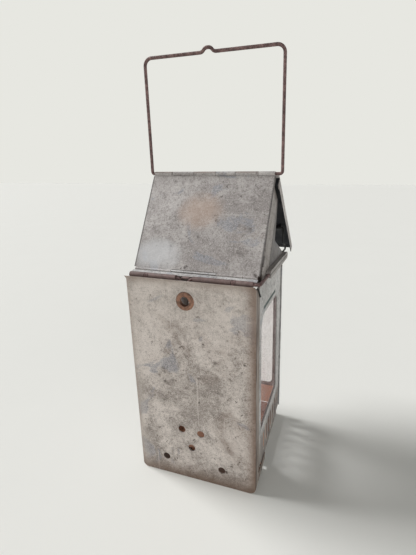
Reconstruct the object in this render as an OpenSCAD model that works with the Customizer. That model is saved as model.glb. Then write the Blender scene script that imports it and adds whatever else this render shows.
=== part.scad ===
// Folding candle lantern in tinned sheet and wire.
// Origin: centre of the body's base. X runs across the solid back, Y runs from the
// solid back towards the front door, Z is up.

/* [Body] */
// Width across the solid back
body_w = 108; // [104:1:116]
// Depth from the solid back to the front door
body_d = 98; // [94:1:106]
// Height of the solid back
body_h = 181; // [178:1:190]
// Thickness of the tinned sheet
sheet = 0.7; // [0.5:0.1:0.8]
// Outside radius of the back's upright edges
edge_r = 1.6; // [1.4:0.1:4]
// Outside radius of the back's lower corners
foot_r = 6; // [4:0.5:8]
// Depth of the rim beside the right leaf
rim_d = 9; // [8.5:0.5:10]
// Depth of the fixed shelf at the foot of the back
shelf_d = 27; // [26:0.5:30]
// Height of the upright edges of the shelf and the base pan
flange_h = 12; // [8:0.5:12]
// How far the lip at the top of the back leans out
lip_out = 2; // [1:0.5:2.5]
// Height of that lip
lip_h = 2.6; // [1.5:0.1:3]

/* [Eyelet and vents] */
// Sideways place of the hanging eyelet
eyelet_x = -2.5; // [-6:0.1:6]
// How far the hanging eyelet lies below the top of the back
eyelet_drop = 14.1; // [12:0.1:21]
// Outside diameter of the eyelet
eyelet_d = 15; // [13:0.5:16]
// Hole through the eyelet
eyelet_hole_d = 8; // [6:0.5:9]
// Diameter of the draught holes in the back
vent_d = 6.6; // [4:0.2:7]

/* [Leaves] */
// Height of the lower edges of the leaves and the door
leaf_foot = 13; // [13:0.5:20]
// How far the side leaves' top edges lie below the top of the back
leaf_drop = 1.5; // [1:0.5:9]
// How far the left leaf's hinge stands in front of the right leaf's
leaf_step = 3; // [2.5:0.5:5]
// Length of the mica window along a side leaf
window_len = 61; // [50:1:64]
// Sill height of the side windows
window_foot = 48; // [48:1:58]
// How far the windows' heads lie below the top of the back
window_drop = 29; // [28:1:40]
// Radius of the side windows' upper corners
window_r = 12; // [5:0.5:14]
// Radius of the side windows' lower corners
sill_r = 3; // [2:0.5:14]
// Number of upright draught slots under a side window
slot_count = 7; // [4:1:9]
// Width of a draught slot
slot_w = 4.4; // [3:0.2:5]
// Distance from one draught slot to the next
slot_pitch = 9; // [7:0.5:9]
// Length of a draught slot
slot_len = 21; // [15:1:26]
// Width of the front door's stiles beside its window
door_stile = 6.2; // [6:0.1:20]
// Sill height of the front door's window
door_window_foot = 38; // [30:1:58]
// Corner radius of the front door's window
door_window_r = 6; // [4:0.5:14]
// How far the door's top edge lies below the top of the back
door_drop = 6; // [5:1:20]
// Thickness of the mica
mica_t = 0.3; // [0.2:0.05:0.4]
// Thickness of the strip frames that hold the mica
stay_t = 0.6; // [0.4:0.1:0.7]
// Width of those strip frames
stay_w = 4; // [3:0.5:4]

/* [Candle socket] */
// Outside diameter of the candle socket's cup
socket_d = 24; // [20:0.5:30]
// Height of the cup above the pan
socket_h = 10; // [7:0.5:10]
// Bore of the cup
socket_bore_d = 22.4; // [18:0.2:22.4]
// Diameter of the socket's flat foot
socket_foot_d = 36; // [34:1:44]

/* [Roof] */
// Distance of the roof's lower hinge in front of the solid back
crease_in = 11; // [10:0.5:13]
// Height of the roof's lower hinge above the solid back
crease_up = 5.2; // [4:0.2:7]
// Length of the back roof plate
roof_back_len = 87; // [84:1:96]
// Slope of the back roof plate
roof_back_slope = 60.8; // [56:0.2:64]
// Length of the front roof plate
roof_front_len = 109.5; // [104:0.5:120]
// Slope of the raised front roof plate
roof_front_slope = 43; // [38:0.5:46]
// Half the back plate's width at its lower edge
roof_low_half = 53.3; // [53:0.1:55]
// Half the back plate's width at the ridge
roof_ridge_half = 55.5; // [55:0.1:56]
// Half the front plate's width
roof_front_half = 56.7; // [56.2:0.1:56.8]
// How far the front plate sits to the right of the middle
roof_front_shift = 0.9; // [0.5:0.1:1]
// Depth of the front plate's side edges
roof_edge_d = 7; // [3:0.5:7]

/* [Wires] */
// Wire diameter of the carrying bail
bail_wire_d = 2.6; // [2:0.1:2.8]
// Half the bail's width, to the middle of its wire
bail_half = 59; // [59:0.1:62]
// How far the bail sits to the right of the middle
bail_shift = 1.4; // [0.5:0.1:1.5]
// Height of the bail above the ridge
bail_h = 92; // [80:1:96]
// Bend radius of the bail's top corners
bail_bend_r = 6; // [4:0.5:10]
// Wire diameter of the keeper round the top of the body
keeper_wire_d = 2.4; // [2:0.1:2.6]
// Sideways place of the keeper's arm, to the middle of its wire
keeper_half = 55.6; // [55.6:0.1:57]
// Reach of the keeper's wire in front of the door
keeper_reach = 7.5; // [7:0.5:13]
// Thickness of the flattened sleeve on the keeper's arm
sleeve_t = 3.6; // [3.6:0.1:3.8]
// Height of that sleeve
sleeve_h = 6.4; // [5:0.2:7]
// Wire diameter of the roof hooks
hook_wire_d = 1.8; // [1.2:0.1:1.8]

/* [Hidden] */
$fn = 48;

// Clearances: round a turning pin, beside a moving leaf, between hinge barrels
pin_gap = 0.05;
leaf_gap = 0.3;
barrel_gap = 0.4;
// A cut runs this far past the face that it opens
past = 1;

// Body planes
half_w = body_w / 2;
back_y = -body_d / 2;
front_y = body_d / 2;
back_in_y = back_y + sheet;
leaf_top = body_h - leaf_drop;
window_head = body_h - window_drop;
door_top = body_h - door_drop;
eyelet_z = body_h - eyelet_drop;
lip_inset = 0.8;

// Leaf hinges: plain pins in rolled barrels
leaf_pin_r = 0.8;
leaf_barrel_r = 1.5;
leaf_offset = leaf_barrel_r + leaf_gap;
side_out = half_w - sheet - leaf_gap;
side_in = side_out - sheet;
leaf_pin_x = side_in - leaf_offset;
right_pin_y = back_y + 5;
left_pin_y = right_pin_y + leaf_step;
pane_stack = mica_t + stay_t;
door_in_y = front_y - sheet;
leaf_tip_y = door_in_y - pane_stack - 2 * leaf_gap;
barrel_len = 12;
// Lower ends of the fixed barrels of the upright hinges
barrel_lift = 14;
barrel_mid_drop = 2;
barrel_z = [leaf_foot + barrel_lift, (leaf_foot + leaf_top) / 2 - barrel_mid_drop, leaf_top - 2 * barrel_len];
leaf_pin_z = [barrel_z[0] - 1, barrel_z[2] + barrel_len + 1];

// Door hinge outside the left front corner
door_pin_x = -(side_out + leaf_gap + sheet);
door_pin_y = front_y + leaf_barrel_r - leaf_gap - 0.1;
door_left = -side_in + barrel_gap;
door_flange_x = side_out + barrel_gap;
door_flange_d = front_y - leaf_tip_y - 0.2;
door_barrel_z = [barrel_z[0], barrel_z[1], barrel_z[2] - 8];

// Side window, groove above it and slots, from the leaf's pin
window_start = 14;
groove_start = window_start + 6;
groove_z = window_head + 3.8;
groove_h = 3;
groove_len = window_len - 16.5;
groove_deep = 0.3;
slot_start = window_start + 10;
// A slot's round ends stay this much short of a half circle
round_end = 0.1;
hem_start = 4.5;
hem_h = 2;
slot_foot = leaf_foot + 2.5;

// Base pan hinge
pan_pin_r = 0.7;
pan_barrel_r = 1.4;
pan_pin_y = back_y + shelf_d;
pan_pin_z = pan_barrel_r + 0.2;
pan_half = side_in - pane_stack - 0.5;
pan_front = leaf_tip_y + 1.2;
pan_lag = 0.2;
shelf_ear = 5;
socket_y = 12;
// Barrels of the pan's hinge: half of the middle one, the outer ones, the pan's own
pan_mid = 7;
pan_outer = [32, 42];
pan_inner_len = 10.6;

// Turn of each bend in a wire's bump, and half of its flat top
bump_turn = acos(0.6);
bump_top = 0.5;
function bump_half(bend_r) = bump_top + 1.6 * bend_r;

// Roof hinges
keeper_r = keeper_wire_d / 2;
keeper_y = back_y + 3;
keeper_z = body_h + 3;
keeper_barrel_r = keeper_r + 1;
crease_y = back_y + crease_in;
crease_z = body_h + crease_up;
crease_pin_r = 0.7;
crease_barrel_r = 1.4;
ridge_y = crease_y + roof_back_len * cos(roof_back_slope);
ridge_z = crease_z + roof_back_len * sin(roof_back_slope);
bail_r = bail_wire_d / 2;
ridge_pin_r = 0.9;
ridge_pin_half = 42;
ridge_barrel_r = bail_r + 0.6;
link_slope = atan2(crease_z - keeper_z, crease_y - keeper_y);
link_len = norm([crease_z - keeper_z, crease_y - keeper_y]);
link_half = half_w - 1.5;
// Barrels of the keeper hinge: link barrels on both sides of each clip, the wire's dip between
clip_x = 34.4;
clip_w = 3;
clip_span = [clip_x, clip_x + clip_w];
keeper_end_x = half_w - 2.7;
link_end_x = keeper_end_x - 0.7;
dip_x = -3.3;
dip_bend_r = 4;
dip_half = bump_half(dip_bend_r);
link_spans = [[-link_end_x, -clip_span[1] - barrel_gap],
              [-clip_span[0] + barrel_gap, dip_x - dip_half - barrel_gap],
              [dip_x + dip_half + barrel_gap, clip_span[0] - barrel_gap],
              [clip_span[1] + barrel_gap, link_end_x]];
// A tongue of the link above the wire's dip
tongue_half = 3;
// Barrels of the crease hinge
crease_mid = 18.9;
crease_plate_span = [crease_mid + barrel_gap, link_half - 1];
// Ends of the ridge hinge's barrels: the back plate has the first, and then they alternate
ridge_hinge_half = roof_ridge_half - 0.8;
ridge_cuts = [-ridge_hinge_half, -37, -16.7, 3.8, 20.8, 40.7, ridge_hinge_half];
function ridge_span(i) = [ridge_cuts[i] + barrel_gap / 2, ridge_cuts[i + 1] - barrel_gap / 2];

// Gables
gable_x = 53.2;
gable_pin_r = 0.6;
gable_barrel_r = 1.3;
right_gable_drop = 2;
left_gable_drop = 4.5;
gable_foot_z = leaf_top + 2 * leaf_gap;
gable_foot_y = crease_y + 9;
gable_low_s = 5;
gable_high_s = roof_back_len - 7;
gable_peak = [ridge_y + 17, ridge_z - 22];
gable_neck = [ridge_y + 7.2, body_h + 25.3];
gable_tip = [front_y + 2.4, body_h + 6.2];
gable_toe = 1;
// Barrels of a gable's hinge, along the slope: the plate's are outside, the gable's inside
gable_hinge_low = 10;
gable_hinge_high = roof_back_len - 21;
gable_barrel_len = 8;
gable_inner_low = gable_hinge_low + gable_barrel_len;
gable_inner_high = gable_hinge_high - gable_barrel_len;
gable_plate_spans = [[gable_hinge_low, gable_inner_low], [gable_inner_high, gable_hinge_high]];
gable_leaf_spans = [[gable_inner_low + barrel_gap, gable_inner_low + gable_barrel_len],
                    [gable_inner_high - gable_barrel_len, gable_inner_high - barrel_gap]];

// Roof hooks
hook_r = hook_wire_d / 2;
hook_s = 72;
hook_drop = 2.2;
hook_x = gable_x - 0.6;
hook_bend_r = 2;
staple_len = 4.4;
staple_end = hook_x - hook_bend_r - 0.6;
staple_span = [staple_end - staple_len, staple_end];
staple_r = hook_r + 0.8;
hook_pivot_y = ridge_y + hook_s * cos(roof_front_slope) - hook_drop * sin(roof_front_slope);
hook_pivot_z = ridge_z - hook_s * sin(roof_front_slope) - hook_drop * cos(roof_front_slope);

// Draught holes in the back: sideways place and height
vents = [[-11.7, 49.5], [5.6, 48.3], [-3.3, 32.2], [-28.4, 17.2], [23.9, 16.2]];

// Rust and finish colours
tin = [0.62, 0.58, 0.50];
dull_tin = [0.50, 0.46, 0.40];
rust = [0.36, 0.20, 0.13];
soot = [0.10, 0.09, 0.09];
pale_mica = [0.92, 0.86, 0.80, 0.55];

// A flat sheet in the YZ plane, from x = 0 towards +X
module yz_sheet(t) { rotate([90, 0, 90]) linear_extrude(t) children(); }

// A flat sheet in the XZ plane, from y = 0 towards +Y
module xz_sheet(t) { translate([0, t, 0]) rotate([90, 0, 0]) linear_extrude(t) children(); }

module round_rect(w, h, r) {
    translate([r, 0]) square([w - 2 * r, h]);
    translate([0, r]) square([w, h - 2 * r]);
    for (x = [r, w - r], y = [r, h - r]) translate([x, y]) circle(r);
}

// A rectangle whose upper corners are rounder than its lower ones
module arched_rect(w, h, r, low_r) {
    round_rect(w, h - r, low_r);
    translate([0, low_r]) round_rect(w, h - low_r, r);
}

// A rod along X between two places
module rod_x(x0, x1, r) { translate([x0, 0, 0]) rotate([0, 90, 0]) cylinder(h = x1 - x0, r = r); }

// A rod along Y between two places
module rod_y(y0, y1, r) { translate([0, y0, 0]) rotate([-90, 0, 0]) cylinder(h = y1 - y0, r = r); }

// A bend of wire, round the Z axis from +X towards +Y
module bend(bend_r, turn, r) { rotate_extrude(angle = turn) translate([bend_r, 0]) circle(r); }

// A rounded bump in a wire along X, towards +Y, from smooth bends and a short flat top:
// past the top it reaches 1.6 times the bend's radius to each side, and it is 0.8 times it high
module bump(bend_r, r) {
    translate([0, 0.8 * bend_r, 0]) rod_x(-bump_top, bump_top, r);
    both_hands() {
        translate([bump_top, -0.2 * bend_r, 0]) rotate([0, 0, 90 - bump_turn]) bend(bend_r, bump_turn, r);
        translate([bump_half(bend_r), bend_r, 0]) rotate([0, 0, -90 - bump_turn]) bend(bend_r, bump_turn, r);
    }
}

// Both hands of a shape, mirrored across the middle
module both_hands() {
    children();
    mirror([1, 0, 0]) children();
}

// The back pressing as a solid, with its walls drawn in by inset
module tray_solid(inset) {
    w = body_w - 2 * inset;
    intersection() {
        translate([-w / 2, back_y + inset, 0])
            linear_extrude(body_h + past) round_rect(w, body_d, edge_r - inset);
        translate([-w / 2, back_y - past, inset])
            xz_sheet(body_d + 2 * past) round_rect(w, body_h + 2 * foot_r, foot_r - inset);
    }
}

// Barrels that the back's rim rolls round a leaf pin
module rim_barrels(pin_y) {
    for (z = barrel_z) translate([leaf_pin_x, pin_y, z]) {
        cylinder(h = barrel_len, r = leaf_barrel_r);
        translate([0, -leaf_barrel_r, 0])
            cube([half_w - sheet / 2 - leaf_pin_x, leaf_barrel_r - pin_gap, barrel_len]);
    }
}

module leaf_bore(pin_y) {
    translate([leaf_pin_x, pin_y, 0]) cylinder(h = body_h, r = leaf_pin_r + pin_gap);
}

// The flared lip along the top of the back
module lip() {
    translate([-half_w + lip_inset, 0, 0]) yz_sheet(body_w - 2 * lip_inset)
        polygon([[back_y, body_h], [back_y - lip_out, body_h + lip_h],
                 [back_y - lip_out + sheet, body_h + lip_h], [back_in_y, body_h]]);
}

// Barrels along the front edge of the shelf
module shelf_barrels() {
    for (span = [[-pan_mid, pan_mid], pan_outer, [-pan_outer[1], -pan_outer[0]]]) {
        translate([0, pan_pin_y, pan_pin_z]) rod_x(span[0], span[1], pan_barrel_r);
        translate([span[0], pan_pin_y - 2 * pan_barrel_r, 0])
            cube([span[1] - span[0], 2 * pan_barrel_r - pin_gap, pan_pin_z]);
    }
}

module back_panel() color(tin) difference() {
    union() {
        difference() {
            tray_solid(0);
            tray_solid(sheet);
            translate([-body_w, back_y + rim_d, flange_h]) cube([3 * half_w, body_d, body_h]);
            translate([-body_w, back_y + rim_d + leaf_step, flange_h]) cube([2 * body_w, body_d, body_h]);
            translate([-half_w + sheet, pan_pin_y - pan_barrel_r - pin_gap, -past])
                cube([body_w - 2 * sheet, body_d, body_h]);
            translate([-body_w, pan_pin_y + shelf_ear, -past]) cube([2 * body_w, body_d, body_h]);
            translate([-body_w, back_y - past, body_h]) cube([2 * body_w, 2 * body_d, body_h]);
        }
        lip();
        rim_barrels(right_pin_y);
        mirror([1, 0, 0]) rim_barrels(left_pin_y);
        shelf_barrels();
    }
    leaf_bore(right_pin_y);
    mirror([1, 0, 0]) leaf_bore(left_pin_y);
    translate([0, pan_pin_y, pan_pin_z]) rod_x(-half_w, half_w, pan_pin_r + pin_gap);
    translate([eyelet_x, back_y - past, eyelet_z]) rod_y(0, sheet + 2 * past, eyelet_hole_d / 2 + sheet);
    for (v = vents) translate([v[0], back_y - past, v[1]]) rod_y(0, sheet + 2 * past, vent_d / 2);
}

// A rolled eyelet: a throat through the sheet and a round lip on each face
module eyelet() color(rust) translate([eyelet_x, back_y, eyelet_z]) rotate([-90, 0, 0]) {
    hole = eyelet_hole_d / 2;
    lip_r = eyelet_d / 2;
    roll = 1.2;
    rotate_extrude() {
        translate([hole, -roll]) square([sheet, sheet + 2 * roll]);
        difference() {
            translate([(hole + lip_r) / 2, 0]) scale([(lip_r - hole) / (2 * roll), 1]) circle(roll);
            square([2 * lip_r, roll + past]);
        }
        translate([hole, sheet]) square([2.2, sheet]);
    }
}

module leaf_pin(pin_y) {
    translate([leaf_pin_x, pin_y, leaf_pin_z[0]]) cylinder(h = leaf_pin_z[1] - leaf_pin_z[0], r = leaf_pin_r);
}

module leaf_pins() color(rust) {
    leaf_pin(right_pin_y);
    mirror([1, 0, 0]) leaf_pin(left_pin_y);
}

module pan_pin() color(rust) translate([0, pan_pin_y, pan_pin_z]) rod_x(-pan_half, pan_half, pan_pin_r);

// Clips, soldered to the inside of the back, that hold the keeper wire
clip_foot_len = 11;
clip_foot_z = body_h - clip_foot_len;
module keeper_clip() difference() {
    union() {
        translate([0, keeper_y, keeper_z]) rod_x(clip_span[0], clip_span[1], keeper_barrel_r);
        translate([clip_span[0], back_in_y, clip_foot_z])
            cube([clip_span[1] - clip_span[0], sheet, keeper_z - clip_foot_z]);
    }
    translate([0, keeper_y, keeper_z]) rod_x(clip_span[0] - past, clip_span[1] + past, keeper_r + pin_gap);
}

module keeper_clips() color(rust) both_hands() keeper_clip();

// A tail of wire soldered along the outside of the right rim
tail_r = 0.6;
tail_len = 11.8;
tail_lean = 39.5;
module wire_tail() color(soot) translate([half_w + tail_r, back_y + 1, body_h + 1.6])
    rotate([180 + tail_lean, 0, 0]) cylinder(h = tail_len, r = tail_r);

// Rivets of the candle socket and the door's tab
rivet_r = 1.1;
rivet_head_r = 2;
rivet_head_h = 0.7;

// Outline of a side leaf, from its pin: y forward, z up
module leaf_outline(len) {
    window_h = window_head - window_foot;
    difference() {
        translate([0, leaf_foot]) square([len, leaf_top - leaf_foot]);
        translate([window_start, window_foot]) arched_rect(window_len, window_h, window_r, sill_r);
        for (i = [0 : slot_count - 1])
            translate([slot_start + i * slot_pitch, slot_foot])
                round_rect(slot_w, slot_len, slot_w / 2 - round_end);
    }
}

// A side leaf about its own pin, with its rolled barrels and stiffening hems
module leaf_sheet(len) difference() {
    union() {
        translate([leaf_offset, 0, 0]) yz_sheet(sheet) leaf_outline(len);
        for (z = barrel_z) translate([0, 0, z + barrel_len + barrel_gap]) {
            cylinder(h = barrel_len, r = leaf_barrel_r);
            translate([0, pin_gap, 0]) cube([leaf_offset + sheet, leaf_barrel_r, barrel_len]);
        }
        for (z = [leaf_foot, leaf_top - hem_h])
            translate([leaf_offset - sheet, hem_start, z]) cube([2 * sheet, len - hem_start, hem_h]);
    }
    translate([0, 0, leaf_foot - past]) cylinder(h = body_h, r = leaf_pin_r + pin_gap);
    translate([leaf_offset + sheet - groove_deep, groove_start, groove_z])
        yz_sheet(past) round_rect(groove_len, groove_h, groove_h / 2 - round_end);
}

// Mica and its strip frame reach this far past the window
mica_lap = 2.5;

module leaf_mica_sheet() {
    translate([leaf_offset - mica_t, window_start - mica_lap, window_foot - mica_lap])
        cube([mica_t, window_len + 2 * mica_lap, window_head - window_foot + 2 * mica_lap]);
}

module stay_outline(w, h, r, low_r) {
    lap = stay_w - mica_lap;
    difference() {
        translate([-mica_lap, -mica_lap]) square([w + 2 * mica_lap, h + 2 * mica_lap]);
        translate([lap, lap]) arched_rect(w - 2 * lap, h - 2 * lap, r - 1, low_r - 1);
    }
}

module leaf_stay_sheet() {
    translate([leaf_offset - pane_stack, window_start, window_foot]) yz_sheet(stay_t)
        stay_outline(window_len, window_head - window_foot, window_r, sill_r);
}

module at_right_leaf() { translate([leaf_pin_x, right_pin_y, 0]) children(); }
module at_left_leaf() { mirror([1, 0, 0]) translate([leaf_pin_x, left_pin_y, 0]) children(); }

module right_leaf() color(tin) at_right_leaf() leaf_sheet(leaf_tip_y - right_pin_y);
module right_mica() color(pale_mica) at_right_leaf() leaf_mica_sheet();
module right_mica_stay() color(dull_tin) at_right_leaf() leaf_stay_sheet();

// Barrels on the left leaf's front edge carry the door
module left_leaf() color(tin) difference() {
    union() {
        at_left_leaf() leaf_sheet(leaf_tip_y - left_pin_y);
        for (z = door_barrel_z) translate([door_pin_x, door_pin_y, z]) {
            cylinder(h = barrel_len, r = leaf_barrel_r);
            translate([-side_out - door_pin_x, leaf_tip_y - door_pin_y - sheet, 0])
                cube([sheet, door_pin_y - leaf_tip_y + sheet, barrel_len]);
        }
    }
    translate([door_pin_x, door_pin_y, 0]) cylinder(h = body_h, r = leaf_pin_r + pin_gap);
}
module left_mica() color(pale_mica) at_left_leaf() leaf_mica_sheet();
module left_mica_stay() color(dull_tin) at_left_leaf() leaf_stay_sheet();

module door_pin() color(rust) translate([door_pin_x, door_pin_y, door_barrel_z[0] - 1])
    cylinder(h = door_barrel_z[2] + 2 * barrel_len + barrel_gap + 2 - door_barrel_z[0], r = leaf_pin_r);

door_window_x = door_left + door_stile;
door_window_w = door_flange_x - door_stile - door_window_x;
door_window_h = window_head - door_window_foot;

module front_door() color(tin) difference() {
    union() {
        translate([0, door_in_y, 0]) xz_sheet(sheet) difference() {
            translate([door_left, leaf_foot])
                square([door_flange_x + sheet - door_left, door_top - leaf_foot]);
            translate([door_window_x, door_window_foot])
                round_rect(door_window_w, door_window_h, door_window_r);
        }
        translate([door_flange_x, front_y - door_flange_d, leaf_foot])
            cube([sheet, door_flange_d, door_top - leaf_foot]);
        for (z = door_barrel_z) translate([door_pin_x, 0, z + barrel_len + barrel_gap]) {
            translate([0, door_pin_y, 0]) cylinder(h = barrel_len, r = leaf_barrel_r);
            translate([0, door_in_y, 0]) cube([door_left - door_pin_x + past, sheet, barrel_len]);
        }
    }
    translate([door_pin_x, door_pin_y, 0]) cylinder(h = body_h, r = leaf_pin_r + pin_gap);
}

module front_mica() color(pale_mica)
    translate([door_window_x - mica_lap, door_in_y - mica_t, door_window_foot - mica_lap])
        cube([door_window_w + 2 * mica_lap, mica_t, door_window_h + 2 * mica_lap]);

module front_mica_stay() color(dull_tin)
    translate([door_window_x, door_in_y - pane_stack, door_window_foot]) xz_sheet(stay_t)
        stay_outline(door_window_w, door_window_h, door_window_r, door_window_r);

// A finger tab riveted to the door's face beside its free edge
catch_z = (leaf_foot + door_top) / 2;
catch_w = door_stile - 1.2;
catch_h = 16;
module door_catch() color(dull_tin) translate([door_flange_x - catch_w, front_y, catch_z - catch_h / 2]) {
    xz_sheet(sheet) round_rect(catch_w, catch_h, 2);
    translate([catch_w / 2, 0, catch_h / 2]) rod_y(sheet, 2 * sheet, rivet_head_r);
    translate([catch_w - sheet, 0, 3]) cube([sheet, 5, catch_h - 6]);
}

// Shallow pan with upright edges, hinged to the shelf
module base_pan() color(dull_tin) difference() {
    union() {
        pan_start = pan_pin_y + pan_barrel_r + pin_gap;
        translate([-pan_half, pan_start, 0]) cube([2 * pan_half, pan_front - pan_start, sheet]);
        translate([-pan_half, pan_front - sheet, 0]) cube([2 * pan_half, sheet, leaf_foot - leaf_gap]);
        both_hands() translate([pan_half - sheet, pan_start + pan_lag, 0])
            cube([sheet, pan_front - pan_start - pan_lag, flange_h]);
        both_hands() for (span = [[pan_mid + barrel_gap, pan_mid + barrel_gap + pan_inner_len],
                                  [pan_outer[1] + barrel_gap, pan_half - past]]) {
            translate([0, pan_pin_y, pan_pin_z]) rod_x(span[0], span[1], pan_barrel_r);
            translate([span[0], pan_pin_y + pin_gap, 0])
                cube([span[1] - span[0], 2 * pan_barrel_r, pan_pin_z]);
        }
    }
    translate([0, pan_pin_y, pan_pin_z]) rod_x(-half_w, half_w, pan_pin_r + pin_gap);
    for (x = socket_rivet_places())
        translate([x, socket_y, -past]) cylinder(h = 2 * past + sheet, r = rivet_r);
}

function socket_rivet_places() = let (m = (socket_d + socket_foot_d) / 4) [-m, m];

module candle_socket() color(dull_tin) translate([0, socket_y, sheet]) difference() {
    union() {
        cylinder(h = sheet, d = socket_foot_d);
        cylinder(h = socket_h, d = socket_d);
    }
    translate([0, 0, sheet]) cylinder(h = socket_h, d = socket_bore_d);
    for (x = socket_rivet_places()) translate([x, 0, -past]) cylinder(h = 2 * past + sheet, r = rivet_r);
}

module socket_rivets() color(rust) for (x = socket_rivet_places()) translate([x, socket_y, 0]) {
    cylinder(h = 2 * sheet + rivet_head_h, r = rivet_r);
    translate([0, 0, 2 * sheet]) cylinder(h = rivet_head_h, r = rivet_head_r);
}

// One wire: hinge length with a dip at the back, and an arm along the right side
keeper_bend_r = 3;
keeper_end_y = front_y + keeper_reach;
module keeper_wire() color(rust) translate([0, 0, keeper_z]) {
    corner_x = keeper_half - keeper_bend_r;
    translate([dip_x, keeper_y, 0]) rotate([-90, 0, 0]) bump(dip_bend_r, keeper_r);
    translate([0, keeper_y, 0]) {
        rod_x(-keeper_end_x, dip_x - dip_half, keeper_r);
        rod_x(dip_x + dip_half, corner_x, keeper_r);
    }
    translate([corner_x, keeper_y + keeper_bend_r, 0]) rotate([0, 0, -90]) bend(keeper_bend_r, 90, keeper_r);
    translate([keeper_half, 0, 0]) rod_y(keeper_y + keeper_bend_r, keeper_end_y, keeper_r);
}

// Flattened sleeve with round ends, slid over the keeper's arm
sleeve_lag = 26;
sleeve_start_y = keeper_y + sleeve_lag;
sleeve_past = 2;
sleeve_len = keeper_end_y + sleeve_past - sleeve_start_y;
module keeper_sleeve() color(dull_tin) translate([keeper_half, 0, keeper_z]) difference() {
    translate([-sleeve_t / 2, sleeve_start_y, -sleeve_h / 2])
        yz_sheet(sleeve_t) round_rect(sleeve_len, sleeve_h, sleeve_h / 2 - round_end);
    rod_y(sleeve_start_y - past, keeper_end_y + pin_gap, keeper_r + pin_gap);
}

module at_link() { translate([0, keeper_y, keeper_z]) rotate([link_slope, 0, 0]) children(); }

// Narrow strip between the keeper wire and the roof's lower hinge
module roof_link() color(dull_tin) at_link() difference() {
    near = keeper_barrel_r + barrel_gap;
    far = link_len - crease_barrel_r - barrel_gap;
    union() {
        translate([-link_half, near, -sheet / 2]) cube([2 * link_half, far - near, sheet]);
        for (span = link_spans) {
            rod_x(span[0], span[1], keeper_barrel_r);
            translate([span[0], 0, -sheet / 2]) cube([span[1] - span[0], near + past, sheet]);
        }
        translate([dip_x - tongue_half, 0, -sheet / 2]) cube([2 * tongue_half, near + past, sheet]);
        translate([0, link_len, 0]) rod_x(-crease_mid, crease_mid, crease_barrel_r);
        translate([-crease_mid, far - past, -sheet / 2]) cube([2 * crease_mid, link_len - far + past, sheet]);
    }
    for (span = link_spans) rod_x(span[0] - past, span[1] + past, keeper_r + pin_gap);
    translate([0, link_len, 0]) rod_x(-half_w, half_w, crease_pin_r + pin_gap);
}

module crease_pin() color(rust) translate([0, crease_y, crease_z])
    rod_x(-crease_plate_span[1], crease_plate_span[1], crease_pin_r);

module at_roof_back() { translate([0, crease_y, crease_z]) rotate([roof_back_slope, 0, 0]) children(); }

// Barrels under the back plate's side edges, on the right
module gable_barrels(drop) {
    for (s = gable_plate_spans) translate([gable_x, 0, -drop]) {
        rod_y(s[0], s[1], gable_barrel_r);
        translate([-gable_barrel_r, s[0], 0]) cube([gable_barrel_r, s[1] - s[0], drop]);
    }
}

module gable_bore(drop) {
    translate([gable_x, 0, -drop]) rod_y(gable_plate_spans[0][0] - past, gable_plate_spans[1][1] + past,
                                         gable_pin_r + pin_gap);
}

module roof_back_plate() color(tin) at_roof_back() difference() {
    low = crease_barrel_r + barrel_gap;
    high = roof_back_len - ridge_barrel_r - barrel_gap;
    union() {
        translate([0, 0, -sheet / 2]) linear_extrude(sheet)
            polygon([[-roof_low_half, low], [roof_low_half, low],
                     [roof_ridge_half, high], [-roof_ridge_half, high]]);
        both_hands() {
            rod_x(crease_plate_span[0], crease_plate_span[1], crease_barrel_r);
            translate([crease_plate_span[0], 0, -sheet / 2])
                cube([crease_plate_span[1] - crease_plate_span[0], low + past, sheet]);
        }
        for (i = [0, 2, 4]) ridge_barrel(ridge_span(i), high);
        gable_barrels(right_gable_drop);
        mirror([1, 0, 0]) gable_barrels(left_gable_drop);
    }
    rod_x(-half_w, half_w, crease_pin_r + pin_gap);
    translate([0, roof_back_len, 0]) ridge_bore();
    gable_bore(right_gable_drop);
    mirror([1, 0, 0]) gable_bore(left_gable_drop);
}

module ridge_barrel(span, high) {
    translate([0, roof_back_len, 0]) rod_x(span[0], span[1], ridge_barrel_r);
    translate([span[0], high - past, -sheet / 2])
        cube([span[1] - span[0], roof_back_len - high + past, sheet]);
}

// Room for the ridge pin and, beyond its ends, for the bail's stubs
module ridge_bore() {
    rod_x(-half_w, half_w, ridge_pin_r + pin_gap);
    both_hands() rod_x(ridge_pin_half, ridge_hinge_half + past, bail_r + pin_gap);
}

module ridge_pin() color(rust) translate([0, ridge_y, ridge_z])
    rod_x(-ridge_pin_half, ridge_pin_half, ridge_pin_r);

module gable_pin(drop) {
    translate([gable_x, 0, -drop]) rod_y(gable_plate_spans[0][0], gable_plate_spans[1][1], gable_pin_r);
}

module gable_pins() color(rust) at_roof_back() {
    gable_pin(right_gable_drop);
    mirror([1, 0, 0]) gable_pin(left_gable_drop);
}

module at_roof_front() { translate([0, ridge_y, ridge_z]) rotate([-roof_front_slope, 0, 0]) children(); }

// Long front plate with turned-down side edges and a rolled eave
eave_r = 1;
edge_lag = 4;
module roof_front_plate() color(soot) at_roof_front() difference() {
    near = ridge_barrel_r + barrel_gap;
    union() {
        translate([roof_front_shift, 0, 0]) {
            translate([-roof_front_half, near, -sheet / 2])
                cube([2 * roof_front_half, roof_front_len - near, sheet]);
            both_hands() translate([roof_front_half - sheet, near + edge_lag, -roof_edge_d])
                cube([sheet, roof_front_len - near - edge_lag, roof_edge_d]);
            translate([0, roof_front_len, -eave_r + sheet / 2])
                rod_x(-roof_front_half, roof_front_half, eave_r);
        }
        for (i = [1, 3, 5]) front_barrel(ridge_span(i));
    }
    ridge_bore();
}

module front_barrel(span) {
    rod_x(span[0], span[1], ridge_barrel_r);
    translate([span[0], 0, -sheet / 2]) cube([span[1] - span[0], ridge_barrel_r + past, sheet]);
}

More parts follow.
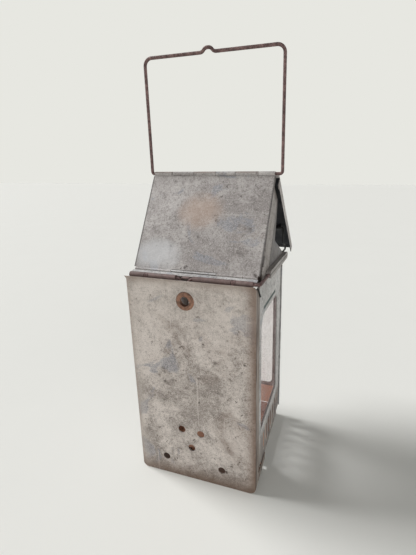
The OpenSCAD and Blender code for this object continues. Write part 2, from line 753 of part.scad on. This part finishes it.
// Small tubes under the front plate that carry the hooks
module hook_staples() color(soot) at_roof_front() both_hands() difference() {
    union() {
        translate([0, hook_s, -hook_drop]) rod_x(staple_span[0], staple_span[1], staple_r);
        translate([staple_span[0], hook_s - staple_r, -hook_drop])
            cube([staple_span[1] - staple_span[0], 2 * staple_r, hook_drop - sheet / 2]);
    }
    translate([0, hook_s, -hook_drop]) rod_x(staple_span[0] - past, staple_span[1] + past, hook_r + pin_gap);
}

// Carrying bail: stub in the ridge, upright leg, rounded top corner and a raised kink
bail_foot_r = 2.2;
bail_kink_r = 4;
bail_kink_x = -2.4;
module carry_bail() color(rust) translate([bail_shift, ridge_y, ridge_z]) rotate([90, 0, 0]) {
    foot_x = bail_half - bail_foot_r;
    corner_x = bail_half - bail_bend_r;
    translate([bail_kink_x, bail_h, 0]) bump(bail_kink_r, bail_r);
    translate([0, bail_h, 0]) {
        rod_x(-corner_x, bail_kink_x - bump_half(bail_kink_r), bail_r);
        rod_x(bail_kink_x + bump_half(bail_kink_r), corner_x, bail_r);
    }
    both_hands() {
        rod_x(ridge_pin_half + bail_shift + barrel_gap, foot_x, bail_r);
        translate([foot_x, bail_foot_r, 0]) rotate([0, 0, -90]) bend(bail_foot_r, 90, bail_r);
        translate([bail_half, 0, 0]) rod_y(bail_foot_r, bail_h - bail_bend_r, bail_r);
        translate([corner_x, bail_h - bail_bend_r, 0]) bend(bail_bend_r, 90, bail_r);
    }
}

// A point on the back slope: s along it from the crease, n out from it
function slope_point(s, n) = [crease_y + s * cos(roof_back_slope) - n * sin(roof_back_slope),
                              crease_z + s * sin(roof_back_slope) + n * cos(roof_back_slope)];

// Gable outline: slope edge, front edge down to the neck, straight sweep to the tip, foot
module gable_outline(drop) {
    under = -(drop + gable_barrel_r + barrel_gap);
    polygon([[gable_foot_y, gable_foot_z], slope_point(gable_low_s, under), slope_point(gable_high_s, under),
             gable_peak, gable_neck, gable_tip, [gable_tip[0] - gable_toe, gable_foot_z]]);
}

module gable_sheet(drop) difference() {
    union() {
        translate([gable_x - sheet / 2, 0, 0]) yz_sheet(sheet) gable_outline(drop);
        at_roof_back() translate([gable_x, 0, -drop]) for (s = gable_leaf_spans) {
            rod_y(s[0], s[1], gable_barrel_r);
            translate([-sheet / 2, s[0], -gable_barrel_r - barrel_gap - past])
                cube([sheet, s[1] - s[0], gable_barrel_r + barrel_gap + past]);
        }
    }
    at_roof_back() gable_bore(drop);
}

module right_gable() color(dull_tin) gable_sheet(right_gable_drop);
module left_gable() color(dull_tin) mirror([1, 0, 0]) gable_sheet(left_gable_drop);

// Bent wire in its own plane, X forward and Y up: a shank down from the pivot, a bend to
// a run that falls gently forward, and a hairpin back towards the gable's tip
hook_shank = 14;
hook_knee_r = 2.5;
hook_run = 11.5;
hook_pin_r = 2.5;
hook_return = 12.5;
// Sine and cosine of the run's fall, and the turn from the shank to the run
run_fall = 0.28;
run_reach = 0.96;
hook_turn = acos(run_fall);
run_start = [hook_knee_r * (1 - run_fall), -hook_shank - hook_knee_r * run_reach];
run_end = run_start + hook_run * [run_reach, -run_fall];
hairpin = run_end - hook_pin_r * [run_fall, run_reach];
module hook_wire() {
    rod_y(-hook_shank, -hook_bend_r, hook_r);
    translate([hook_knee_r, -hook_shank, 0]) rotate([0, 0, 180]) bend(hook_knee_r, hook_turn, hook_r);
    translate([run_start[0], run_start[1], 0]) rotate([0, 0, hook_turn - 90]) rod_x(0, hook_run, hook_r);
    translate([hairpin[0], hairpin[1], 0]) {
        bend(hook_pin_r, hook_turn, hook_r);
        rotate([0, 0, -90]) bend(hook_pin_r, 90, hook_r);
        translate([0, -hook_pin_r, 0]) rod_x(-hook_return, 0, hook_r);
    }
}

module roof_hook() translate([0, hook_pivot_y, hook_pivot_z]) {
    rod_x(staple_span[0] - past, hook_x - hook_bend_r, hook_r);
    translate([hook_x - hook_bend_r, 0, -hook_bend_r]) rotate([90, 0, 0]) bend(hook_bend_r, 90, hook_r);
    translate([hook_x, 0, 0]) rotate([90, 0, 90]) hook_wire();
}

module right_hook() color(soot) roof_hook();
module left_hook() color(soot) mirror([1, 0, 0]) roof_hook();

back_panel();
eyelet();
leaf_pins();
pan_pin();
keeper_clips();
wire_tail();
right_leaf();
right_mica();
right_mica_stay();
left_leaf();
left_mica();
left_mica_stay();
door_pin();
front_door();
front_mica();
front_mica_stay();
door_catch();
base_pan();
candle_socket();
socket_rivets();
keeper_wire();
keeper_sleeve();
roof_link();
crease_pin();
roof_back_plate();
ridge_pin();
gable_pins();
roof_front_plate();
hook_staples();
carry_bail();
right_gable();
left_gable();
right_hook();
left_hook();
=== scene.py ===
import math

import bmesh
import bpy
from mathutils import Matrix, Vector


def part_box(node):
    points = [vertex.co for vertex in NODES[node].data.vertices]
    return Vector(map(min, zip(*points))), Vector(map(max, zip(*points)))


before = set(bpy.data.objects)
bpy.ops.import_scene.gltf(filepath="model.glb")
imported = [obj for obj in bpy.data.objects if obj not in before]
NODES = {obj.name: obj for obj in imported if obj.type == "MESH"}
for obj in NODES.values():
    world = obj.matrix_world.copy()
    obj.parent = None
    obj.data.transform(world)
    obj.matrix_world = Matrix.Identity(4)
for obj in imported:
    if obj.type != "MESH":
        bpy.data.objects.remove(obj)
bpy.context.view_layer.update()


def srgb(red, green, blue):
    """A colour given as the eye sees it, 0 to 255, as Blender's linear RGBA."""

    def linear(value):
        share = value / 255
        if share <= 0.04045:
            return share / 12.92
        return ((share + 0.055) / 1.055) ** 2.4

    return (linear(red), linear(green), linear(blue), 1.0)


class Finish:
    """One procedural material, with short calls for the nodes that it uses."""

    def __init__(self, name):
        self.material = bpy.data.materials.new(name)
        self.material.use_nodes = True
        self.tree = self.material.node_tree
        self.tree.nodes.clear()
        self.shader = self.tree.nodes.new("ShaderNodeBsdfPrincipled")
        out = self.tree.nodes.new("ShaderNodeOutputMaterial")
        self.tree.links.new(self.shader.outputs["BSDF"], out.inputs["Surface"])
        self.place = self.tree.nodes.new("ShaderNodeTexCoord")
        self.split = self.tree.nodes.new("ShaderNodeSeparateXYZ")
        self.tree.links.new(self.place.outputs["Object"], self.split.inputs[0])

    def feed(self, socket, value):
        """Sets a socket to a number or a colour, or links another node's output to it."""
        if isinstance(value, bpy.types.NodeSocket):
            self.tree.links.new(value, socket)
        else:
            socket.default_value = value

    def math(self, kind, a, b=0.0):
        node = self.tree.nodes.new("ShaderNodeMath")
        node.operation = kind
        self.feed(node.inputs[0], a)
        self.feed(node.inputs[1], b)
        return node.outputs[0]

    def axis(self, name):
        return self.split.outputs[name]

    def vector_math(self, kind, source, other):
        """A vector operation on one of the part's own coordinates and a constant."""
        node = self.tree.nodes.new("ShaderNodeVectorMath")
        node.operation = kind
        self.tree.links.new(self.place.outputs[source], node.inputs[0])
        node.inputs[1].default_value = other
        return node

    def noise(self, per_metre, detail, rough, warp=0.0, offset=0.0, stretch=(1, 1, 1)):
        """Noise in the part's own coordinates, which are metres, scaled along each axis."""
        place = self.vector_math("MULTIPLY", "Object", stretch).outputs[0]
        node = self.tree.nodes.new("ShaderNodeTexNoise")
        node.noise_dimensions = "4D"
        self.tree.links.new(place, node.inputs["Vector"])
        node.inputs["W"].default_value = offset
        node.inputs["Scale"].default_value = per_metre
        node.inputs["Detail"].default_value = detail
        node.inputs["Roughness"].default_value = rough
        node.inputs["Distortion"].default_value = warp
        return node.outputs["Fac"]

    def along(self, direction, start):
        """The distance in metres along a direction of the part's own frame, past a start."""
        reach = self.vector_math("DOT_PRODUCT", "Object", direction).outputs["Value"]
        return self.math("SUBTRACT", reach, start)

    def facing(self, direction):
        """How far the surface faces a direction of the part's own frame, from -1 to 1."""
        return self.vector_math("DOT_PRODUCT", "Normal", direction).outputs["Value"]

    def band(self, value, centre, half, soft, share=1.0):
        """A stripe of the given share where value lies near centre, with soft sides."""
        off = self.math("ABSOLUTE", self.math("SUBTRACT", value, centre))
        return self.ramp(off, half, half + soft, share, 0.0)

    def both(self, a, b):
        return self.math("MULTIPLY", a, b)

    def either(self, a, b):
        return self.math("MAXIMUM", a, b)

    def ramp(self, value, low, high, to_low=0.0, to_high=1.0):
        """Takes value from low..high to to_low..to_high, with soft ends."""
        node = self.tree.nodes.new("ShaderNodeMapRange")
        node.interpolation_type = "SMOOTHSTEP"
        self.feed(node.inputs["Value"], value)
        node.inputs["From Min"].default_value = low
        node.inputs["From Max"].default_value = high
        node.inputs["To Min"].default_value = to_low
        node.inputs["To Max"].default_value = to_high
        return node.outputs["Result"]

    def mix(self, share, a, b):
        node = self.tree.nodes.new("ShaderNodeMix")
        node.data_type = "RGBA"
        self.feed(node.inputs["Factor"], share)
        self.feed(node.inputs["A"], a)
        self.feed(node.inputs["B"], b)
        return node.outputs["Result"]

    def bump(self, height, strength, distance, under=None):
        node = self.tree.nodes.new("ShaderNodeBump")
        node.inputs["Strength"].default_value = strength
        node.inputs["Distance"].default_value = distance
        self.feed(node.inputs["Height"], height)
        if under is not None:
            self.tree.links.new(under, node.inputs["Normal"])
        return node.outputs["Normal"]

    def set(self, **values):
        for name, value in values.items():
            self.feed(self.shader.inputs[name.replace("_", " ")], value)


# Camera: fitted to the photograph's own perspective
CAMERA_PLACE = (0.10813, -0.24681, 0.25425)
CAMERA_TURN = 15.083
CAMERA_TILT = 76.576
CAMERA_ROLL = 0.308
camera_data = bpy.data.cameras.new("camera")
camera_data.lens = 19.969
camera_data.sensor_width = 36.0
camera_data.shift_x = -0.0900
camera_data.shift_y = -0.0367
camera_data.clip_start = 0.01
camera = bpy.data.objects.new("camera", camera_data)
camera.location = CAMERA_PLACE
turn = Matrix.Rotation(math.radians(CAMERA_TURN), 3, "Z")
tilt = Matrix.Rotation(math.radians(CAMERA_TILT), 3, "X")
roll = Matrix.Rotation(math.radians(CAMERA_ROLL), 3, "Z")
camera.rotation_euler = (turn @ tilt @ roll).to_euler()
bpy.context.scene.collection.objects.link(camera)
bpy.context.scene.camera = camera

# Sheet tones: pale, middle, blue-grey, speck and rust
TIN = (srgb(210, 201, 195), srgb(148, 139, 133), srgb(132, 134, 144), srgb(70, 60, 54), srgb(106, 83, 68))
ROOF = (srgb(188, 183, 181), srgb(148, 142, 140), srgb(143, 146, 154), srgb(88, 81, 78), srgb(122, 102, 90))
LEAF = (srgb(208, 206, 205), srgb(164, 162, 161), srgb(140, 143, 151), srgb(92, 89, 90), srgb(114, 103, 96))
DULL = (srgb(160, 154, 151), srgb(126, 120, 117), srgb(114, 115, 120), srgb(74, 67, 63), srgb(94, 75, 63))

# Other tones
# Painted light: the lighter tone on the back's top and left
PAINTED_LIGHT_BACK = srgb(200, 191, 184)
BROWN_SIDE = srgb(112, 88, 72)
BROWN_FOOT = srgb(108, 88, 74)
RIM_DARK = srgb(84, 74, 68)
RIM_PALE = srgb(156, 148, 142)
BACK_INSIDE = srgb(86, 79, 74)
# Painted sheen and painted reflection on the back roof plate
WARM_PAINTED_SHEEN = srgb(176, 150, 132)
PALE_PAINTED_REFLECTION = srgb(206, 207, 210)
FOOT_DARK = srgb(86, 76, 70)
FOOT_PALE = srgb(160, 150, 142)
GROOVE_GREEN = srgb(38, 66, 62)
PAN_INSIDE = srgb(212, 158, 128)
# Painted shade on the gables beyond their dark line
GABLE_PAINTED_SHADE = srgb(58, 58, 64)
BARREL_BROWN = srgb(92, 70, 66)
RUST = srgb(112, 86, 82)
SOOT = srgb(16, 20, 28)
SOOT_PALE = srgb(27, 31, 38)
SEAM = srgb(44, 38, 36)
# The inside's orange-brown, painted very light as painted light inside the lantern
INSIDE_WITH_PAINTED_LIGHT = srgb(246, 188, 152)
SMOKED = srgb(96, 86, 80)
MICA_PINK = srgb(198, 158, 158)
MICA_PALE = srgb(228, 200, 202)
PAPER = srgb(229, 229, 225)
PAPER_PALE = srgb(232, 232, 228)
TENT_SIDE = srgb(231, 231, 225)
TENT_TOP = srgb(66, 66, 68)

# How far a noise is drawn out along each axis
UPRIGHT = (1, 1, 0.05)
UPRIGHT_SCRATCH = (1, 1, 0.035)
LEVEL_SCRATCH = (0.035, 0.035, 1)
MICA_CLOUD = (1, 1, 0.35)

# Where a face counts as turned towards a direction, from just below to just above
TURNED = (0.4, 0.6)

# Places on the part, in metres
# Where the painted light on the back's top and left fades in and out
PALE_TOP_START = 0.125
PALE_TOP_END = 0.165
PALE_LEFT_START = -0.040
PALE_LEFT_END = -0.052
SIDE_START = 0.0425
SIDE_END = 0.0525
FOOT_TOP = 0.020
FOOT_END = 0.002
ROOF_HALF_AT_FLOOR = 0.0479
LEAF_FOOT_TOP = 0.046
LEAF_FOOT_END = 0.034
SILL_LOW = 0.048
SILL_HIGH = 0.072
GROOVE_Z = 0.1573
GROOVE_Y = -0.0017
DOOR_HALF = 0.0518
DOOR_SOFT = 0.0524
# Where the gable's dark line runs, and its painted shade begins, across the back slope
SEAM_AND_SHADE_LINE = 0.0245
RIDGE_START = 0.0068
RIDGE_END = 0.0080
SLEEVE_SEAM_Z = 0.1842
LINK_OUTLINE_Y = -0.0395
ROLL_START = -0.0432
ROLL_END = -0.0438

# Slopes of the roof's back and front plates, and the back plate's widening with height
BACK_SLOPE = math.radians(60.8)
BACK_SLOPE_START = -0.12403
FRONT_SLOPE = math.radians(43)
ROOF_WIDENING = 0.029


def edge_wear(finish, axis, low, high, width):
    """1 on a flat panel's outline along an axis, falling to 0 a little way in."""
    place = finish.axis(axis)
    from_low = finish.math("SUBTRACT", place, low)
    from_high = finish.math("SUBTRACT", high, place)
    nearest = finish.math("MINIMUM", from_low, from_high)
    return finish.ramp(nearest, 0.0, width, 1.0, 0.0)


def old_sheet(name, tones, edges=(), seed=0.0, rust=0.5, rough=0.62):
    """Old tinned sheet: mottled greys, blue-grey patches, dark specks, scuffs and browned edges.

    tones are (pale, middle, blue-grey, speck, rust); edges are (axis, low, high, width).
    """
    pale, middle, blue, speck, brown = tones
    f = Finish(name)
    broad = f.noise(19, detail=7, rough=0.62, warp=0.7, offset=seed)
    mottle = f.noise(120, detail=6, rough=0.68, warp=0.7, offset=seed + 1)
    grain = f.noise(460, detail=6, rough=0.78, offset=seed + 5)
    tone = f.math("ADD", f.math("MULTIPLY", broad, 0.50), f.math("MULTIPLY", mottle, 0.20))
    tone = f.math("ADD", tone, f.math("MULTIPLY", grain, 0.30))
    colour = f.mix(f.ramp(tone, 0.43, 0.58), middle, pale)
    patches = f.noise(20, detail=7, rough=0.62, warp=1.4, offset=seed + 3)
    colour = f.mix(f.ramp(patches, 0.56, 0.60, 0.0, 0.62), colour, blue)
    colour = f.mix(f.ramp(mottle, 0.46, 0.30, 0.0, 0.50), colour, speck)
    colour = f.mix(f.ramp(grain, 0.45, 0.33, 0.0, 0.55), colour, speck)
    colour = f.mix(f.ramp(grain, 0.56, 0.70, 0.0, 0.60), colour, pale)
    fine = f.noise(1100, detail=3, rough=0.6, offset=seed + 6)
    colour = f.mix(f.ramp(fine, 0.53, 0.64, 0.0, 0.45), colour, speck)
    colour = f.mix(f.ramp(fine, 0.46, 0.36, 0.0, 0.70), colour, pale)
    pits = f.noise(230, detail=3, rough=0.6, warp=0.4, offset=seed + 7)
    colour = f.mix(f.ramp(pits, 0.64, 0.70, 0.0, 0.85), colour, speck)
    stains = f.noise(17, detail=6, rough=0.7, warp=0.8, offset=seed + 9)
    colour = f.mix(f.ramp(stains, 0.54, 0.72, 0.0, rust), colour, brown)
    upright = f.noise(520, detail=2, rough=0.5, offset=seed + 21, stretch=UPRIGHT_SCRATCH)
    level = f.noise(520, detail=2, rough=0.5, offset=seed + 23, stretch=LEVEL_SCRATCH)
    scratches = f.either(f.ramp(upright, 0.67, 0.70, 0.0, 0.45), f.ramp(level, 0.67, 0.70, 0.0, 0.40))
    colour = f.mix(scratches, colour, pale)
    for number, (axis, low, high, width) in enumerate(edges):
        ragged = f.noise(90, detail=5, rough=0.7, warp=0.3, offset=seed + 11 + number)
        worn = f.both(edge_wear(f, axis, low, high, width), f.ramp(ragged, 0.30, 0.60, 0.35, 1.0))
        colour = f.mix(f.math("MULTIPLY", worn, 0.8), colour, brown)
    dents = f.noise(28, detail=3, rough=0.5, warp=0.2, offset=seed + 17)
    normal = f.bump(dents, strength=0.35, distance=0.004)
    normal = f.bump(grain, strength=0.25, distance=0.0006, under=normal)
    shine = f.noise(60, detail=4, rough=0.6, warp=0.3, offset=seed + 13)
    roughness = f.ramp(shine, 0.3, 0.7, rough - 0.12, rough + 0.14)
    f.set(Base_Color=colour, Roughness=roughness, Metallic=0.15, Normal=normal)
    return f, colour


def rusty(name, dark, light, speck, per_metre=260, rough=0.6):
    """Rusted iron: two browns in fine clouds, with dark pits."""
    f = Finish(name)
    clouds = f.ramp(f.noise(per_metre, detail=5, rough=0.65, warp=0.4), 0.36, 0.66)
    colour = f.mix(clouds, dark, light)
    fine = f.noise(per_metre * 5, detail=4, rough=0.7, offset=2.0)
    colour = f.mix(f.ramp(fine, 0.54, 0.70, 0.0, 0.8), colour, speck)
    normal = f.bump(fine, strength=0.45, distance=0.0005)
    normal = f.bump(clouds, strength=0.3, distance=0.0008, under=normal)
    f.set(Base_Color=colour, Roughness=rough, Metallic=0.2, Normal=normal)
    return f.material


def painted_light_and_smoke_inside(finish):
    """The inside's colour: orange-brown low down, painted very light there as painted light inside the
    lantern, smoke-grey above the door's sill.
    """
    clouds = finish.noise(60, detail=4, rough=0.6, warp=0.4, offset=31.0)
    ragged = finish.math("MULTIPLY", finish.math("SUBTRACT", clouds, 0.5), 0.02)
    height = finish.math("ADD", finish.axis("Z"), ragged)
    return finish.mix(finish.ramp(height, SILL_LOW, SILL_HIGH), INSIDE_WITH_PAINTED_LIGHT, SMOKED)


def painted_light_patch(finish, x, z, reach_x, reach_z, share, seed):
    """A clouded patch of painted light about a place on a plate, falling off with distance."""
    across = finish.math("DIVIDE", finish.math("SUBTRACT", finish.axis("X"), x), reach_x)
    up = finish.math("DIVIDE", finish.math("SUBTRACT", finish.axis("Z"), z), reach_z)
    spread = finish.math("ADD", finish.both(across, across), finish.both(up, up))
    clouds = finish.noise(60, detail=5, rough=0.65, warp=0.5, offset=seed)
    spread = finish.math("ADD", spread, finish.math("MULTIPLY", clouds, 1.4))
    return finish.ramp(spread, 0.7, 1.9, share, 0.0)


def streaked(finish, low, high, dark, pale, offset):
    """Upright streaks of two tones."""
    streaks = finish.noise(300, detail=4, rough=0.65, warp=0.3, offset=offset, stretch=UPRIGHT)
    return finish.mix(finish.ramp(streaks, low, high), dark, pale)


def outwards(finish):
    """How far a side piece's surface faces away from the part's middle plane, -1 to 1."""
    return finish.both(finish.facing((1, 0, 0)), finish.math("SIGN", finish.axis("X")))


def dress(material, *names):
    for name in names:
        node = NODES[name]
        node.data.materials.clear()
        node.data.materials.append(material)


def box_edges(name, *axes):
    """The edge ranges of a CAD node along the named axes, with a width for each."""
    low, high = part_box(name)
    return [(axis, low["XYZ".index(axis)], high["XYZ".index(axis)], width) for axis, width in axes]


# The solid back: top and left painted lighter as painted light from the upper left, brown right edge and
# foot, streaked rims, sooty inside
back, colour = old_sheet("back_sheet", TIN, box_edges("back_panel", ("X", 0.005), ("Z", 0.009)), seed=1.0)
# Painted light: the top and the left of the back are painted lighter, as if lit from the upper left
painted_light_top_left = back.either(back.ramp(back.axis("Z"), PALE_TOP_START, PALE_TOP_END, 0.0, 0.34),
                    back.ramp(back.axis("X"), PALE_LEFT_START, PALE_LEFT_END, 0.0, 0.40))
colour = back.mix(painted_light_top_left, colour, PAINTED_LIGHT_BACK)
right_edge = back.ramp(back.axis("X"), SIDE_START, SIDE_END, 0.0, 0.62)
colour = back.mix(right_edge, colour, BROWN_SIDE)
foot = back.ramp(back.axis("Z"), FOOT_TOP, FOOT_END, 0.0, 0.55)
colour = back.mix(foot, colour, BROWN_FOOT)
sideways = back.ramp(back.math("ABSOLUTE", back.facing((1, 0, 0))), 0.6, 0.9)
rim_colour = streaked(back, 0.40, 0.60, RIM_DARK, RIM_PALE, 4.0)
colour = back.mix(back.math("MULTIPLY", sideways, 0.8), colour, rim_colour)
back_inner = back.ramp(back.facing((0, 1, 0)), *TURNED, 0.0, 0.75)
back.set(Base_Color=back.mix(back_inner, colour, BACK_INSIDE))
dress(back.material, "back_panel")

# The back roof plate: a warm painted sheen in the middle, a bluish pale painted reflection low on the left,
# dark sides
roof, colour = old_sheet("roof_sheet", ROOF, box_edges("roof_back_plate", ("Z", 0.002)), seed=4.0, rust=0.3)
# Painted sheen: a warm lighter patch in the middle of the roof plate
warm = painted_light_patch(roof, x=-0.004, z=0.232, reach_x=0.022, reach_z=0.016, share=0.5, seed=8.0)
colour = roof.mix(warm, colour, WARM_PAINTED_SHEEN)
# Painted reflection: a bluish pale patch low on the left of the roof plate
bluish = painted_light_patch(roof, x=-0.036, z=0.198, reach_x=0.026, reach_z=0.013, share=0.6, seed=9.0)
colour = roof.mix(bluish, colour, PALE_PAINTED_REFLECTION)
widening = roof.math("MULTIPLY", roof.axis("Z"), ROOF_WIDENING)
half_width = roof.math("ADD", widening, ROOF_HALF_AT_FLOOR)
from_side = roof.math("SUBTRACT", half_width, roof.math("ABSOLUTE", roof.axis("X")))
colour = roof.mix(roof.ramp(from_side, 0.0004, 0.0016, 0.75, 0.0), colour, SEAM)
roof.set(Base_Color=colour)
dress(roof.material, "roof_back_plate")

# Side leaves: cooler and greyer, dark upright edges, streaked foot, green groove, orange-brown inside with
# painted light low down
leaf, colour = old_sheet("leaf_sheet", LEAF, box_edges("right_leaf", ("Z", 0.003)), seed=7.0, rust=0.3)
leaf_low, leaf_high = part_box("right_leaf")
colour = leaf.mix(edge_wear(leaf, "Y", leaf_low[1], leaf_high[1], 0.0014), colour, SEAM)
foot_tone = streaked(leaf, 0.42, 0.58, FOOT_DARK, FOOT_PALE, 5.0)
colour = leaf.mix(leaf.ramp(leaf.axis("Z"), LEAF_FOOT_TOP, LEAF_FOOT_END, 0.0, 0.7), colour, foot_tone)
groove = leaf.both(leaf.band(leaf.axis("Z"), GROOVE_Z, half=0.0013, soft=0.0003, share=0.9),
                   leaf.band(leaf.axis("Y"), GROOVE_Y, half=0.0220, soft=0.0004))
colour = leaf.mix(groove, colour, GROOVE_GREEN)
leaf_inner = leaf.ramp(outwards(leaf), -0.4, -0.6, 0.0, 0.8)
leaf.set(Base_Color=leaf.mix(leaf_inner, colour, painted_light_and_smoke_inside(leaf)))
dress(leaf.material, "right_leaf", "left_leaf")

# The front door: the same sheet, warm on its inside between the leaves, with painted light low down
door, colour = old_sheet("door_sheet", LEAF, box_edges("front_door", ("Z", 0.003)), seed=9.0, rust=0.3)
door_inner = door.ramp(door.facing((0, -1, 0)), *TURNED, 0.0, 0.92)
between = door.ramp(door.math("ABSOLUTE", door.axis("X")), DOOR_SOFT, DOOR_HALF)
door_inner = door.both(door_inner, between)
door.set(Base_Color=door.mix(door_inner, colour, painted_light_and_smoke_inside(door)))
dress(door.material, "front_door")

# The base pan and candle socket: dull, orange-brown on the inner faces
pan, colour = old_sheet("pan_sheet", DULL, box_edges("base_pan", ("Y", 0.002)), seed=12.0, rust=0.6)
pan_up = pan.ramp(pan.facing((0, 0, 1)), *TURNED)
pan_back = pan.ramp(pan.facing((0, -1, 0)), *TURNED)
pan_inner = pan.math("MULTIPLY", pan.either(pan_up, pan_back), 0.8)
pan.set(Base_Color=pan.mix(pan_inner, colour, PAN_INSIDE))
dress(pan.material, "base_pan", "candle_socket")

# Gables: a lighter strip beside the slope, a dark line, and painted shade darkening the plate beyond the
# line
gable, colour = old_sheet("gable_sheet", DULL, seed=16.0, rust=0.3)
across_slope = (0, math.sin(BACK_SLOPE), -math.cos(BACK_SLOPE))
depth = gable.along(across_slope, BACK_SLOPE_START)
# Painted shade: the gable beyond the line is painted darker
colour = gable.mix(gable.ramp(depth, SEAM_AND_SHADE_LINE - 0.001, SEAM_AND_SHADE_LINE + 0.001, 0.0, 0.5), colour, GABLE_PAINTED_SHADE)
colour = gable.mix(gable.band(depth, SEAM_AND_SHADE_LINE, half=0.0004, soft=0.0006, share=0.8), colour, SEAM)
gable.set(Base_Color=colour)
dress(gable.material, "right_gable", "left_gable")

# The link: rusty barrels and a light strip between them
link, colour = old_sheet("link_sheet", LEAF, seed=15.0, rust=0.3)
rolled = link.ramp(link.axis("Y"), ROLL_START, ROLL_END)
rust_clouds = link.ramp(link.noise(260, detail=5, rough=0.65, warp=0.4, offset=2.0), 0.36, 0.66)
rolled_tone = link.mix(rust_clouds, BARREL_BROWN, RUST)
colour = link.mix(link.math("MULTIPLY", rolled, 0.9), colour, rolled_tone)
outline = link.band(link.axis("Y"), LINK_OUTLINE_Y, half=0.0001, soft=0.0003, share=0.8)
link.set(Base_Color=link.mix(outline, colour, SEAM))
dress(link.material, "roof_link")

# Small sheet pieces, and the sleeve with its seam
small, _ = old_sheet("small_sheet", DULL, seed=15.0)
dress(small.material, "right_mica_stay", "left_mica_stay", "front_mica_stay", "door_catch")
sleeve, colour = old_sheet("sleeve_sheet", DULL, seed=18.0, rust=0.3, rough=0.5)
seam = sleeve.band(sleeve.axis("Z"), SLEEVE_SEAM_Z, half=0.0003, soft=0.0005, share=0.8)
sleeve.set(Base_Color=sleeve.mix(seam, colour, SEAM))
dress(sleeve.material, "keeper_sleeve")

# The front roof plate: smoke-black below, dull grey on its outside, edges and ridge knuckles
front, colour = old_sheet("front_sheet", ROOF, seed=21.0, rust=0.3)
underside = (0, -math.sin(FRONT_SLOPE), -math.cos(FRONT_SLOPE))
below = front.ramp(front.facing(underside), 0.1, 0.3)
flank = front.ramp(outwards(front), -0.5, -0.3, 1.0, 0.0)
past_ridge = front.ramp(front.axis("Y"), RIDGE_START, RIDGE_END)
sooty = front.both(front.either(below, flank), past_ridge)
soot_clouds = front.ramp(front.noise(60, detail=5, rough=0.6, warp=0.4, offset=2.0), 0.35, 0.65)
front.set(Base_Color=front.mix(sooty, colour, front.mix(soot_clouds, SOOT, SOOT_PALE)))
dress(front.material, "roof_front_plate")

# Wires, pins and rivets
wire = rusty("wire_rust", srgb(78, 57, 56), srgb(130, 103, 100), srgb(52, 39, 38))
dress(wire, "carry_bail", "keeper_wire", "keeper_clips")
pins = rusty("pin_rust", srgb(66, 52, 47), srgb(104, 82, 71), srgb(42, 34, 30))
dress(pins, "leaf_pins", "pan_pin", "door_pin", "crease_pin", "ridge_pin", "gable_pins", "socket_rivets")
black = rusty("black_wire", srgb(20, 20, 21), srgb(36, 35, 35), srgb(14, 14, 14),
              per_metre=300, rough=0.5)
dress(black, "right_hook", "left_hook", "hook_staples", "wire_tail")
eyelet = rusty("eyelet_rust", srgb(98, 70, 56), srgb(150, 110, 88), srgb(60, 44, 38),
               per_metre=220, rough=0.5)
dress(eyelet, "eyelet")

# Mica: thin and nearly clear, with soft clouds and a pinkish cast
pane = Finish("mica")
clouds = pane.noise(70, detail=4, rough=0.55, warp=0.4, offset=1.0, stretch=MICA_CLOUD)
pane_colour = pane.mix(pane.ramp(clouds, 0.38, 0.62), MICA_PINK, MICA_PALE)
haze = pane.ramp(clouds, 0.30, 0.70, 0.09, 0.19)
ripple = pane.bump(clouds, strength=0.12, distance=0.001)
pane.set(Base_Color=pane_colour, Roughness=0.16, Alpha=haze, Normal=ripple, IOR=1.5)
dress(pane.material, "right_mica", "left_mica", "front_mica")

# A wide level floor
REACH = 120.0


def level_floor():
    shape = bmesh.new()
    corners = [(-REACH, -REACH), (REACH, -REACH), (REACH, REACH), (-REACH, REACH)]
    shape.faces.new([shape.verts.new((x, y, 0.0)) for x, y in corners])
    mesh = bpy.data.meshes.new("floor")
    shape.to_mesh(mesh)
    shape.free()
    piece = bpy.data.objects.new("floor", mesh)
    bpy.context.scene.collection.objects.link(piece)
    return piece


floor = level_floor()
paper = Finish("floor_paper")
paper_tone = paper.noise(9, detail=3, rough=0.5, warp=0.2, offset=3.0)
paper.set(Base_Color=paper.mix(paper_tone, PAPER, PAPER_PALE), Roughness=0.95)
floor.data.materials.append(paper.material)


def broad_lamp(name, aim, power, spread):
    """A soft lamp shining along aim, with its spread in degrees."""
    data = bpy.data.lights.new(name, "SUN")
    data.energy = power
    data.angle = math.radians(spread)
    piece = bpy.data.objects.new(name, data)
    piece.rotation_euler = Vector(aim).to_track_quat("-Z", "Y").to_euler()
    bpy.context.scene.collection.objects.link(piece)


# Soft studio light: a broad lamp high on the left, and a weaker one from the viewer's side
broad_lamp("key", aim=(0.78, -0.05, -0.70), power=2.9, spread=22)
broad_lamp("fill", aim=(-0.54, 0.80, -0.22), power=0.70, spread=70)

# Sines of the angles above level where the pale surround starts and ends its fade
TENT_FADE_START = 0.45
TENT_FADE_END = 0.66


def light_tent():
    """A pale surround like a light tent's sides, dim overhead so that the lamps give the shadows."""
    world = bpy.data.worlds.new("studio")
    world.use_nodes = True
    tree = world.node_tree
    place = tree.nodes.new("ShaderNodeTexCoord")
    split = tree.nodes.new("ShaderNodeSeparateXYZ")
    height = tree.nodes.new("ShaderNodeMapRange")
    tone = tree.nodes.new("ShaderNodeMix")
    height.interpolation_type = "SMOOTHSTEP"
    height.inputs["From Min"].default_value = TENT_FADE_START
    height.inputs["From Max"].default_value = TENT_FADE_END
    tone.data_type = "RGBA"
    tone.inputs["A"].default_value = TENT_SIDE
    tone.inputs["B"].default_value = TENT_TOP
    tree.links.new(place.outputs["Generated"], split.inputs[0])
    tree.links.new(split.outputs["Z"], height.inputs["Value"])
    tree.links.new(height.outputs["Result"], tone.inputs["Factor"])
    tree.links.new(tone.outputs["Result"], tree.nodes["Background"].inputs["Color"])
    return world


bpy.context.scene.world = light_tent()
bpy.context.scene.view_settings.view_transform = "Standard"
